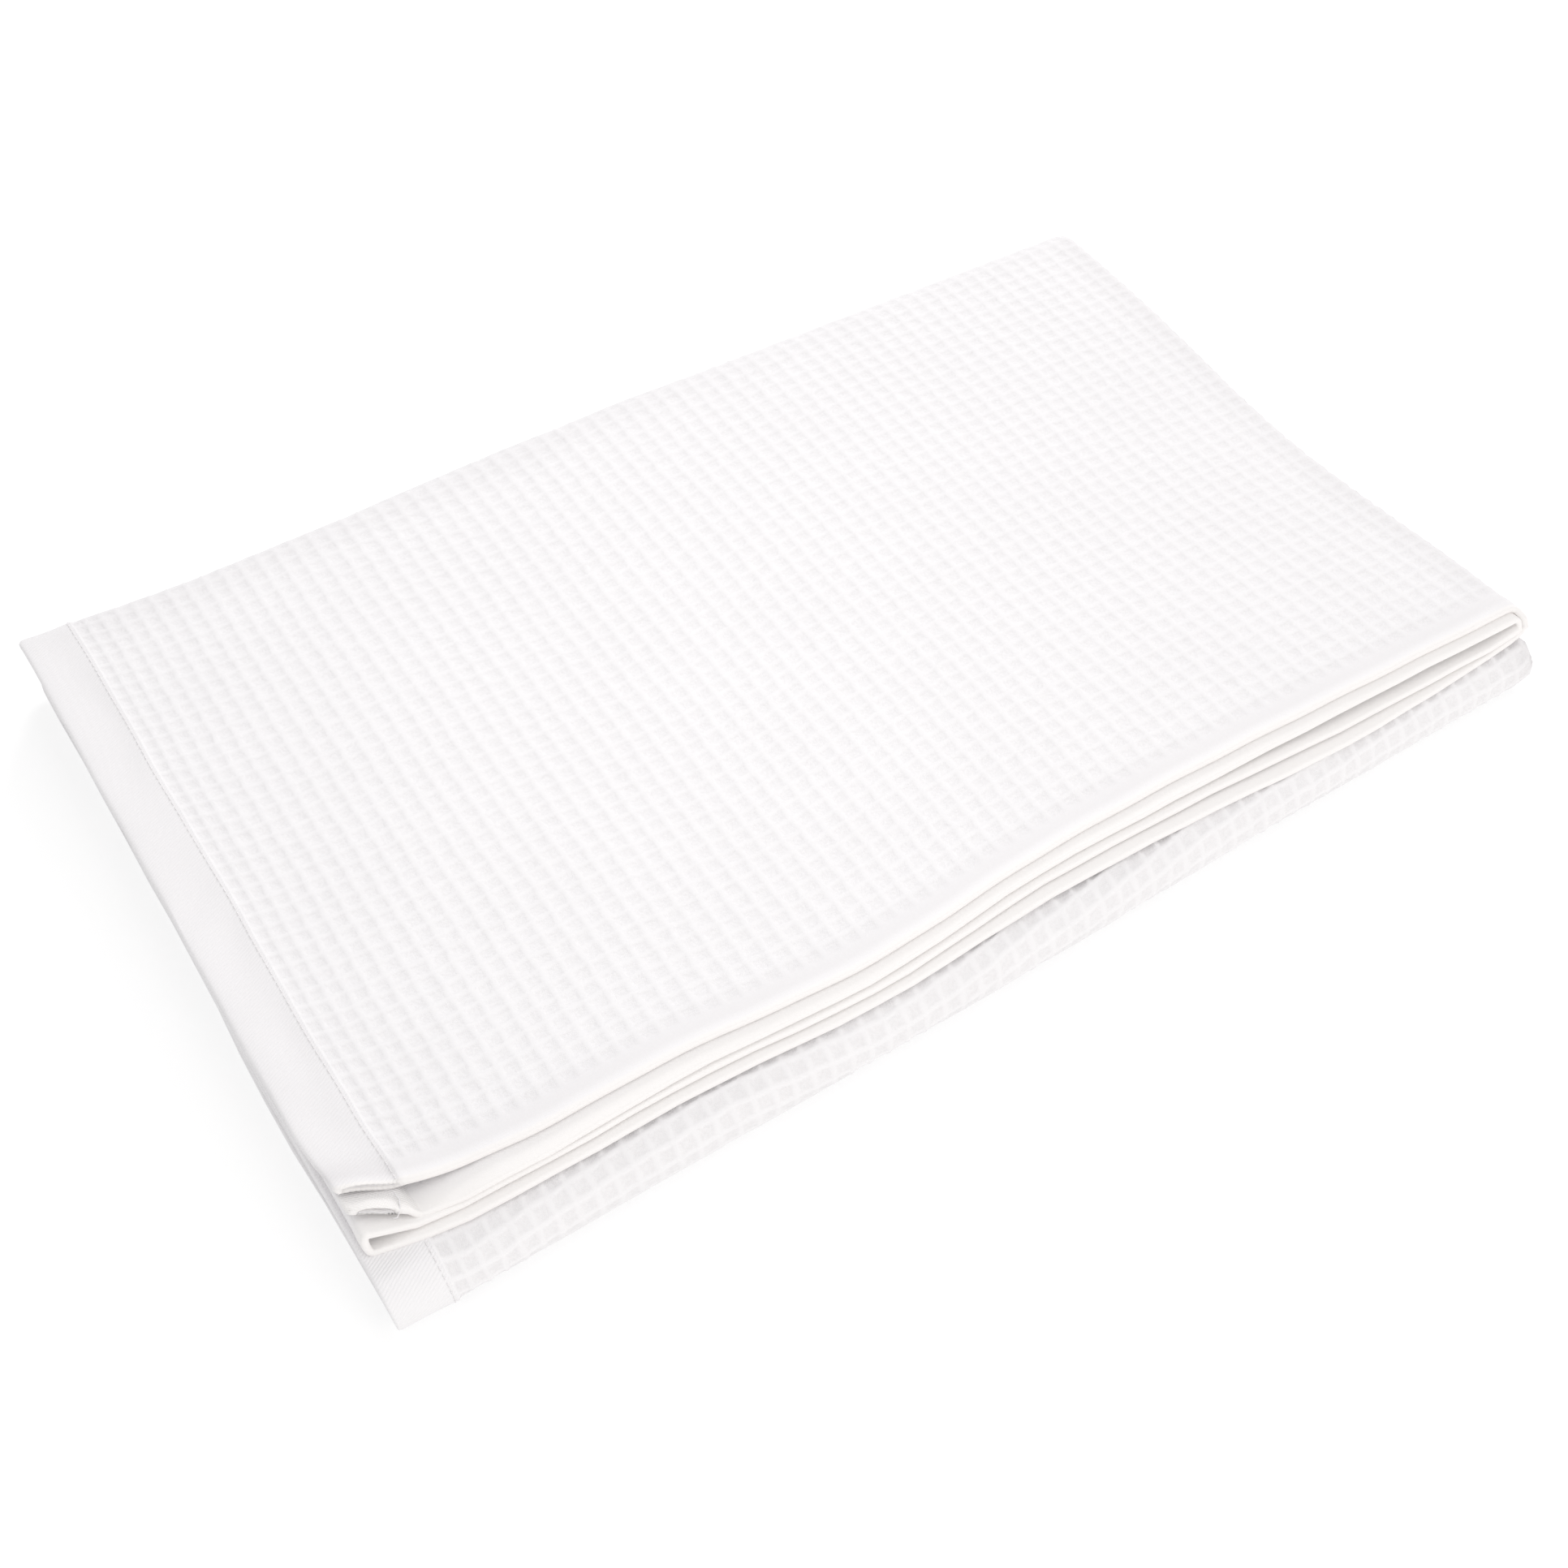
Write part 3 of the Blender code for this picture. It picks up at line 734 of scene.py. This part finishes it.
class Nodes:
    """Short calls that add and join nodes in one tree, for shaders and for geometry."""

    def __init__(self, tree):
        self.tree = tree

    def add(self, kind, **settings):
        node = self.tree.nodes.new(kind)
        for name, value in settings.items():
            setattr(node, name, value)
        return node

    def join(self, source, target):
        self.tree.links.new(source, target)

    def put(self, value, target):
        """Sets a socket to a number, or joins another socket to it."""
        if isinstance(value, bpy.types.NodeSocket):
            self.join(value, target)
        else:
            target.default_value = value

    def math(self, operation, *values):
        node = self.add("ShaderNodeMath", operation=operation)
        for value, target in zip(values, node.inputs):
            self.put(value, target)
        return node.outputs[0]

    def times(self, first, *others):
        """The product of sockets and numbers."""
        for value in others:
            first = self.math("MULTIPLY", first, value)
        return first

    def plus(self, first, *others):
        """The sum of sockets and numbers."""
        for value in others:
            first = self.math("ADD", first, value)
        return first

    def minus(self, first, second):
        return self.math("SUBTRACT", first, second)

    def ease(self, value, low, high, first=0.0, last=1.0):
        """The value's way from low to high, as an even ease from first to last."""
        node = self.add("ShaderNodeMapRange", interpolation_type="SMOOTHSTEP")
        for number, item in enumerate((value, low, high, first, last)):
            self.put(item, node.inputs[number])
        return node.outputs[0]

    def wave(self, place, pitch):
        """A sine of the given pitch along a place in metres."""
        return self.math("SINE", self.times(place, 2 * pi / pitch))

    def from_line(self, place, start, size):
        """How far a place is from the nearest line of a repeat, in repeats."""
        shifted = self.math("DIVIDE", self.minus(place, start), size)
        wrapped = self.math("FRACT", self.plus(shifted, 0.5))
        return self.math("ABSOLUTE", self.minus(wrapped, 0.5))

    def parts(self, vector):
        """The X, Y and Z of a vector."""
        node = self.add("ShaderNodeSeparateXYZ")
        self.join(vector, node.inputs[0])
        return node.outputs

    def noise(self, place, scale, detail, **settings):
        """A noise node that reads the given place."""
        node = self.add("ShaderNodeTexNoise", **settings)
        self.join(place, node.inputs["Vector"])
        node.inputs["Scale"].default_value = scale
        node.inputs["Detail"].default_value = detail
        return node

    def mix(self, share, first, second):
        """The colour that lies the given share of the way from the first to the second."""
        node = self.add("ShaderNodeMix", data_type="RGBA")
        for name, value in (("Factor", share), ("A", first), ("B", second)):
            self.put(value, node.inputs[name])
        return node.outputs["Result"]

    def bump(self, height, distance, strength, shader):
        """Lets a height move the shader's normal."""
        node = self.add("ShaderNodeBump")
        node.inputs["Distance"].default_value = distance
        node.inputs["Strength"].default_value = strength
        self.join(height, node.inputs["Height"])
        self.join(node.outputs[0], shader.inputs["Normal"])


def rib_height(nodes, u, v, cell_along, cell_across, core, foot, cross_rib, dip):
    """Height of the waffle's ribs, from 0 in the pits to 1 on the crests."""
    from_rib = nodes.from_line(u, HEM_WIDTH, cell_along)
    from_cross_rib = nodes.from_line(v, BORDER_WIDTH, cell_across)
    rib = nodes.ease(from_rib, core, foot, 1.0, 0.0)
    cross = nodes.times(nodes.ease(from_cross_rib, core, foot, 1.0, 0.0), cross_rib)
    crossing = nodes.times(nodes.ease(from_cross_rib, 0.0, 0.25, 1.0, 0.0), dip)
    past_seam_rib = nodes.ease(nodes.minus(u, HEM_WIDTH), 0.3 * CELL_ALONG, 0.6 * CELL_ALONG)
    rib = nodes.minus(rib, nodes.times(crossing, rib, past_seam_rib))
    return nodes.math("SMOOTH_MAX", rib, cross, 0.12)


def new_tree(name, sizes, *others):
    """A Geometry Nodes group with a number input for each size, and other inputs given by name and kind."""
    tree = bpy.data.node_groups.new(name, "GeometryNodeTree")
    inputs = [("Geometry", "Geometry")] + [(size, "Float") for size in sizes]
    for title, kind in inputs + list(others) + [("Material", "Material")]:
        tree.interface.new_socket(title, in_out="INPUT", socket_type="NodeSocket" + kind)
    tree.interface.new_socket("Geometry", in_out="OUTPUT", socket_type="NodeSocketGeometry")
    nodes = Nodes(tree)
    return tree, nodes, nodes.add("NodeGroupInput").outputs


def waffle_tree(material):
    """Geometry Nodes that sink the waffle's pits into the close-lined faces of the cloth."""
    sizes = {
        "Cell Along": CELL_ALONG, "Cell Across": CELL_ACROSS, "Pit Depth": PIT_DEPTH, "Rib Core": RIB_CORE,
        "Rib Foot": RIB_FOOT, "Cross Rib": CROSS_RIB, "Crossing Dip": CROSSING_DIP, "Unevenness": UNEVENNESS,
        "Seed": WEAVE_SEED,
    }
    tree, nodes, given = new_tree("waffle_weave", sizes)
    place = nodes.add("GeometryNodeInputNamedAttribute", data_type="FLOAT_VECTOR")
    place.inputs["Name"].default_value = "cloth"
    mask = nodes.add("GeometryNodeInputNamedAttribute", data_type="FLOAT")
    mask.inputs["Name"].default_value = "relief"
    u, v, _ = nodes.parts(place.outputs[0])
    height = rib_height(
        nodes, u, v, given["Cell Along"], given["Cell Across"],
        given["Rib Core"], given["Rib Foot"], given["Cross Rib"], given["Crossing Dip"],
    )
    noise = nodes.noise(place.outputs[0], 0.9 / CELL_ALONG, 1.0, noise_dimensions="4D")
    nodes.join(given["Seed"], noise.inputs["W"])
    uneven = nodes.times(nodes.minus(noise.outputs[0], 0.5), given["Unevenness"], 2.0)
    height = nodes.times(height, nodes.plus(uneven, 1.0))
    sunk = nodes.times(nodes.minus(height, 1.0), given["Pit Depth"], mask.outputs[0])
    shift = nodes.add("ShaderNodeVectorMath", operation="SCALE")
    nodes.join(nodes.add("GeometryNodeInputNormal").outputs[0], shift.inputs[0])
    nodes.join(sunk, shift.inputs["Scale"])
    moved = nodes.add("GeometryNodeSetPosition")
    nodes.join(given["Geometry"], moved.inputs["Geometry"])
    nodes.join(shift.outputs[0], moved.inputs["Offset"])
    finish_tree(nodes, moved.outputs[0], given["Material"])
    return tree, dict(sizes, Material=material)


def finish_tree(nodes, geometry, material):
    """Ends a tree with Realize Instances and Set Material."""
    real = nodes.add("GeometryNodeRealizeInstances")
    nodes.join(geometry, real.inputs[0])
    dressed = nodes.add("GeometryNodeSetMaterial")
    nodes.join(real.outputs[0], dressed.inputs["Geometry"])
    nodes.join(material, dressed.inputs["Material"])
    out = nodes.add("NodeGroupOutput")
    nodes.join(dressed.outputs[0], out.inputs[0])


def grow(piece, tree, values):
    """Runs a Geometry Nodes tree on a piece and keeps the result as its plain mesh."""
    modifier = piece.modifiers.new(tree.name, "NODES")
    modifier.node_group = tree
    for item in tree.interface.items_tree:
        if item.item_type == "SOCKET" and item.in_out == "INPUT" and item.name in values:
            modifier[item.identifier] = values[item.name]
    piece.update_tag()
    evaluated = piece.evaluated_get(bpy.context.evaluated_depsgraph_get())
    mesh = bpy.data.meshes.new_from_object(evaluated)
    piece.modifiers.remove(modifier)
    old = piece.data
    piece.data = mesh
    bpy.data.meshes.remove(old)
    mesh.name = piece.name
    return piece


def closed_strip(name, upper, lower, material):
    """A thin closed strip between two grids of points of the same shape."""
    rows, columns = upper.shape[:2]
    top = np.arange(rows * columns).reshape(rows, columns)
    under = top + rows * columns
    faces = []
    for i in range(rows - 1):
        for j in range(columns - 1):
            faces.append((top[i, j], top[i + 1, j], top[i + 1, j + 1], top[i, j + 1]))
            faces.append((under[i, j], under[i, j + 1], under[i + 1, j + 1], under[i + 1, j]))
    loop = [(i, 0) for i in range(rows)] + [(rows - 1, j) for j in range(1, columns)]
    loop += [(i, columns - 1) for i in range(rows - 2, -1, -1)] + [(0, j) for j in range(columns - 2, 0, -1)]
    for here, following in zip(loop, loop[1:] + loop[:1]):
        faces.append((top[following], top[here], under[here], under[following]))
    points = np.concatenate([upper.reshape(-1, 3), lower.reshape(-1, 3)])
    return mesh_object(name, points, faces, material)


def mesh_object(name, points, faces, material):
    """A smooth piece from points and faces, with its material."""
    mesh = bpy.data.meshes.new(name)
    places = [tuple(map(float, point)) for point in points]
    mesh.from_pydata(places, [], [tuple(map(int, face)) for face in faces])
    mesh.shade_smooth()
    mesh.materials.append(material)
    return placed(name, mesh)


def turned_ply(name, from_edge, span, out, phase, material):
    """The wavy edge of the turned-in ply, which shows in the open end of a hem.

    from_edge is where that hem begins along the cloth, span is the part of its width where the ply shows, and
    out is how far the ply stands past the selvage.
    """
    ends = (-out, 0.8 * MOUTH_DEPTH)
    share, v = np.meshgrid(np.linspace(*span, 22), np.linspace(*ends, 4), indexing="ij")
    u = np.abs(from_edge - HEM_WIDTH * share)
    wave = 0.00028 * np.sin(phase + 11.0 * share) + 0.00012 * np.sin(2.0 + 27.0 * share)
    fade = np.sqrt(np.sin(pi * (share - span[0] + 0.05) / (span[1] - span[0] + 0.1))) * (1 - v / MOUTH_DEPTH)
    normal = slopes(u, v)[2]
    centre = middle(u, v) + normal * (PLY_RISE + wave * fade)[..., None]
    half = PLY_THICKNESS / 2 * (0.4 + 0.6 * fade)[..., None]
    upper, lower = centre + normal * half, centre - normal * half
    if from_edge > 0:
        upper, lower = upper[::-1], lower[::-1]
    return closed_strip(name, upper, lower, material)


def tube(name, path, width, material, sides=7):
    """A closed round thread along a path of points."""
    path = np.array(path, float)
    ahead = np.gradient(path, axis=0)
    ahead /= np.linalg.norm(ahead, axis=1, keepdims=True)
    aside = np.cross(ahead, (0.0, 0.0, 1.0))
    aside /= np.linalg.norm(aside, axis=1, keepdims=True)
    above = np.cross(aside, ahead)
    turn = 2 * pi * np.arange(sides) / sides
    ring = np.cos(turn)[None, :, None] * aside[:, None] + np.sin(turn)[None, :, None] * above[:, None]
    points = (path[:, None] + width / 2 * ring).reshape(-1, 3)
    faces = []
    for i in range(len(path) - 1):
        for j in range(sides):
            k = (j + 1) % sides
            faces.append((i * sides + j, (i + 1) * sides + j, (i + 1) * sides + k, i * sides + k))
    faces.append(tuple(range(sides)))
    faces.append(tuple((len(path) - 1) * sides + j for j in range(sides))[::-1])
    return mesh_object(name, points, faces, material)


def seam_lines(name):
    """Lines for the stitches of the first hem's seam: over the top and back turn, and on the front turn."""
    ends = stretch_ends(np.array([LEFT_END]), np.array([LAYERS - 1.0]))
    turned_back, bottom = float(ends[1][0]), float(ends[2][0])
    front = bottom + FLOOR_GAP
    points, edges = [], []
    for first, last in ((FIRST_STITCH, turned_back - FLOOR_GAP), (front, front + FRONT_SEAM)):
        v = np.arange(first, last, 0.002)
        u = np.full_like(v, SEAM_AT * HEM_WIDTH)
        line = face_points(u, v, 1) + slopes(u, v)[2] * 0.25 * THREAD_WIDTH
        edges += [(len(points) + i, len(points) + i + 1) for i in range(len(line) - 1)]
        points += [tuple(map(float, point)) for point in line]
    mesh = bpy.data.meshes.new(name)
    mesh.from_pydata(points, edges, [])
    return placed(name, mesh)


def stitch_tree(material):
    """Geometry Nodes that set one stitch after another along a seam."""
    sizes = {"Pitch": STITCH_PITCH, "Stitch Length": STITCH_LENGTH, "Thread Width": THREAD_WIDTH}
    tree, nodes, given = new_tree("seam_stitches", sizes, ("Seed", "Int"))
    line = nodes.add("GeometryNodeMeshToCurve")
    nodes.join(given["Geometry"], line.inputs["Mesh"])
    spaced = nodes.add("GeometryNodeResampleCurve", mode="LENGTH")
    nodes.join(line.outputs[0], spaced.inputs["Curve"])
    nodes.join(given["Pitch"], spaced.inputs["Length"])
    stitch = nodes.add("GeometryNodeMeshUVSphere")
    stitch.inputs["Segments"].default_value = 8
    stitch.inputs["Rings"].default_value = 5
    stitch.inputs["Radius"].default_value = 0.5
    uneven = nodes.add("FunctionNodeRandomValue", data_type="FLOAT")
    uneven.inputs[2].default_value = 0.88
    uneven.inputs[3].default_value = 1.08
    nodes.join(given["Seed"], uneven.inputs["Seed"])
    size = nodes.add("ShaderNodeCombineXYZ")
    nodes.join(nodes.times(given["Stitch Length"], uneven.outputs[1]), size.inputs[0])
    nodes.join(given["Thread Width"], size.inputs[1])
    nodes.join(given["Thread Width"], size.inputs[2])
    turned = nodes.add("FunctionNodeAlignRotationToVector", axis="X")
    nodes.join(nodes.add("GeometryNodeInputTangent").outputs[0], turned.inputs["Vector"])
    row = nodes.add("GeometryNodeInstanceOnPoints")
    nodes.join(spaced.outputs[0], row.inputs["Points"])
    nodes.join(stitch.outputs["Mesh"], row.inputs["Instance"])
    nodes.join(turned.outputs[0], row.inputs["Rotation"])
    nodes.join(size.outputs[0], row.inputs["Scale"])
    finish_tree(nodes, row.outputs[0], given["Material"])
    return tree, dict(sizes, Seed=STITCH_SEED, Material=material)


def new_material(name, finish):
    """A node material whose shader has the given finish on its own sockets."""
    material = bpy.data.materials.new(name)
    material.use_nodes = True
    shader = material.node_tree.nodes["Principled BSDF"]
    for socket, value in finish.items():
        shader.inputs[socket].default_value = value
    return material, shader, Nodes(material.node_tree)


def thread_material():
    """White cotton in fine slanting turns, with painted shade in the grooves between them, for the threads
    and the edges of the turned-in plies.
    """
    finish = {"Roughness": 0.75, "Specular IOR Level": 0.3, "Sheen Weight": 0.2}
    material, shader, nodes = new_material("cotton_thread", finish)
    turns = nodes.add("ShaderNodeTexWave", wave_type="BANDS", bands_direction="DIAGONAL")
    nodes.join(nodes.add("ShaderNodeTexCoord").outputs["Object"], turns.inputs["Vector"])
    turns.inputs["Scale"].default_value = 700.0
    turns.inputs["Distortion"].default_value = 1.5
    nodes.bump(turns.outputs["Fac"], 0.0001, 0.6, shader)
    # Painted shade: the grooves between the turns take the darker colour
    nodes.join(nodes.mix(turns.outputs["Fac"], COTTON_SHADE_AND_TONE, COTTON_LIGHT), shader.inputs["Base Color"])
    return material


def cotton_material():
    """Bleached cotton: plain yarns in the pits, floats on the ribs, a fine slant on the hem.

    Its colour is also a little deeper in some places of the cloth, as painted shade: in the pits, between the
    yarns, along the front border, at the right fold, at the back edge and on the top of the hem. The
    selvages' edges are lighter and creamier, as painted light.
    """
    finish = {"Roughness": 0.92, "Specular IOR Level": 0.25, "Sheen Weight": 0.20, "Sheen Roughness": 0.5}
    material, shader, nodes = new_material("white_cotton", finish)
    place = nodes.add("ShaderNodeAttribute", attribute_name="cloth").outputs["Vector"]
    u, v, _ = nodes.parts(place)
    from_hem = nodes.math("MINIMUM", u, nodes.minus(SECTION_LENGTH, u))
    from_selvage = nodes.math("MINIMUM", v, nodes.minus(CLOTH_WIDTH, v))
    past_seam = nodes.ease(from_hem, 0.96 * HEM_WIDTH, HEM_WIDTH)
    hem = nodes.minus(1.0, past_seam)
    waffle = nodes.times(past_seam, nodes.ease(from_selvage, *WAFFLE_FADE))
    ribs = rib_height(nodes, u, v, CELL_ALONG, CELL_ACROSS, CREST_CORE, CREST_FOOT, CROSS_RIB, CROSSING_DIP)
    ribs = nodes.times(ribs, waffle)
    pit = nodes.minus(waffle, ribs)

    grain = nodes.noise(place, 1 / GRAIN_SIZE, 2.0).outputs[0]
    yarn = nodes.times(nodes.wave(u, YARN_PITCH), nodes.wave(v, YARN_PITCH))
    slant = nodes.wave(nodes.minus(v, nodes.times(u, SLANT)), SLANT_PITCH)
    weave = nodes.plus(nodes.times(yarn, YARN_RELIEF), nodes.times(grain, GRAIN_RELIEF))
    share = nodes.plus(nodes.times(pit, 1 - YARN_ON_RIBS), YARN_ON_RIBS)
    height = nodes.plus(
        nodes.times(ribs, RIB_CRISPNESS), nodes.times(weave, share), nodes.times(slant, hem, SLANT_RELIEF),
    )
    nodes.bump(height, 1.0, 1.0, shader)

    fold_end = sum(run_length(row) for row in RUNS[:2])
    top_layer = nodes.ease(u, fold_end - TOP_LAYER_FADE, fold_end, 1.0, 0.0)
    tone = nodes.noise(place, 18.0, 3.0).outputs[0]
    # Painted shade between the yarns
    painted_speck_shade = nodes.times(nodes.ease(grain, 0.40, 0.62), share)
    # Painted shade where the top layer rolls down: along the front border, at the right fold, and at the back
    # edge
    border = nodes.times(
        nodes.ease(from_selvage, 0.6 * BORDER_WIDTH, 2.2 * BORDER_WIDTH, 1.0, 0.0),
        nodes.ease(from_selvage, *BORDER_EDGE),
    )
    right_fold = nodes.ease(u, fold_end - FOLD_FROM, fold_end - FOLD_FULL)
    turning = nodes.times(nodes.ease(v, *BACK_EDGE[:2]), nodes.ease(v, *BACK_EDGE[2:], 1.0, 0.0))
    soft = nodes.times(nodes.math("MAXIMUM", border, right_fold), top_layer)
    soft = nodes.math("MAXIMUM", soft, nodes.times(turning, BACK_SHARE))
    # Share of the darker colour: painted shade in the pits, between the yarns, at the edges and on the hem's
    # top, and a random tone
    shade = nodes.plus(
        # painted shade in the pits
        nodes.times(pit, nodes.ease(v, *FRONT_TURN, PIT_PAINTED_SHADE, FRONT_PIT_PAINTED_SHADE)),
        nodes.times(painted_speck_shade, SPECK_PAINTED_SHADE),
        nodes.times(nodes.ease(tone, 0.35, 0.7), TONE_SHADE),
        nodes.times(soft, EDGE_PAINTED_SHADE),
        # painted shade on the hem's top
        nodes.times(hem, nodes.ease(v, *HEM_FADE, HEM_PAINTED_SHADE, FAR_HEM_PAINTED_SHADE)),
    )
    colour = nodes.mix(shade, COTTON_LIGHT, COTTON_SHADE_AND_TONE)
    # Painted warm light: the selvages' edges lighter and creamier, wider on the lower layers
    reach = nodes.ease(u, fold_end - TOP_LAYER_FADE, fold_end, LIP_REACH, LOWER_LIP_REACH)
    lip = nodes.ease(from_selvage, LIP_FROM, reach, LIP_SHARE, 0.0)
    nodes.join(nodes.mix(lip, colour, LIP_PAINTED_LIGHT), shader.inputs["Base Color"])
    return material


def stage_floor():
    """A plain white floor, a little darker near the sheet as painted shade, which glows a little so that it
    comes out as pale as the photo's background.
    """
    finish = {
        "Roughness": 0.9, "Specular IOR Level": 0.1, "Emission Color": (1.0, 1.0, 1.0, 1.0),
        "Emission Strength": FLOOR_GLOW,
    }
    material, shader, nodes = new_material("floor_white", finish)
    away = nodes.add("ShaderNodeVectorMath", operation="LENGTH")
    nodes.join(nodes.add("ShaderNodeTexCoord").outputs["Object"], away.inputs[0])
    # Painted shade: the floor is darker near the sheet
    pale = nodes.ease(away.outputs["Value"], FLOOR_NEAR, FLOOR_FAR, FLOOR_NEAR_PAINTED_SHADE, FLOOR_FAR_TONE)
    nodes.join(pale, shader.inputs["Base Color"])
    corners = ((-1, -1), (1, -1), (1, 1), (-1, 1))
    mesh = bpy.data.meshes.new("floor")
    points = [(FLOOR_REACH * x, FLOOR_REACH * y, FLOOR_LEVEL) for x, y in corners]
    mesh.from_pydata(points, [], [(0, 1, 2, 3)])
    mesh.materials.append(material)
    placed("floor", mesh)


def softbox(name, place, aim, size, power, colour, spread):
    """A square area light at place that faces aim."""
    data = bpy.data.lights.new(name, "AREA")
    data.shape = "SQUARE"
    data.size = size
    data.energy = power
    data.color = colour
    data.spread = radians(spread)
    light = placed(name, data)
    light.location = place
    light.rotation_euler = (Vector(aim) - Vector(place)).to_track_quat("-Z", "Y").to_euler()


def studio_light():
    """A soft white surround that is brighter overhead, and the softboxes."""
    world = bpy.data.worlds.new("studio")
    world.use_nodes = True
    background = world.node_tree.nodes["Background"]
    background.inputs["Color"].default_value = (1.0, 1.0, 1.0, 1.0)
    nodes = Nodes(world.node_tree)
    upwards = nodes.parts(nodes.add("ShaderNodeTexCoord").outputs["Generated"])[2]
    nodes.join(nodes.ease(upwards, 0.0, 0.9, HORIZON, ZENITH), background.inputs["Strength"])
    bpy.context.scene.world = world
    for row in SOFTBOXES:
        softbox(*row)
    bpy.context.scene.view_settings.view_transform = "Standard"


def photo_camera():
    """The camera of the photograph, as solved from the outline of the sheet's top."""
    data = bpy.data.cameras.new("camera")
    data.lens = CAMERA_LENS
    data.sensor_width = CAMERA_SENSOR
    data.sensor_fit = "HORIZONTAL"
    camera = placed("camera", data)
    right = Vector(CAMERA_RIGHT).normalized()
    back = right.cross(Vector(CAMERA_UP)).normalized()
    up = back.cross(right)
    turn = Matrix((right, up, back)).transposed().to_4x4()
    camera.matrix_world = Matrix.Translation(CAMERA_PLACE) @ turn
    bpy.context.scene.camera = camera


def main():
    """Builds the pieces, the stage, the light and the camera, hangs the pieces under one body and hides the
    solid.
    """
    cotton = cotton_material()
    cloth = cloth_object("waffle_cloth", cotton)
    tree, values = waffle_tree(cotton)
    grow(cloth, tree, values)
    thread = thread_material()
    stitches = seam_lines("hem_stitches")
    stitches.data.materials.append(thread)
    grow(stitches, *stitch_tree(thread))
    upper_ply = turned_ply("upper_hem_ply", 0.0, (0.10, 0.88), 0.0001, 0.6, thread)
    lower_ply = turned_ply("lower_hem_ply", SECTION_LENGTH, (0.10, 0.62), 0.0007, 3.4, thread)
    loose_end = tube("loose_thread", LOOSE_THREAD, THREAD_WIDTH, thread)
    trimmings = [stitches, upper_ply, lower_ply, loose_end]
    stage_floor()
    studio_light()
    photo_camera()
    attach(cloth, "root")
    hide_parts("bath_sheet")
    for piece in trimmings:
        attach(piece, "root")


main()
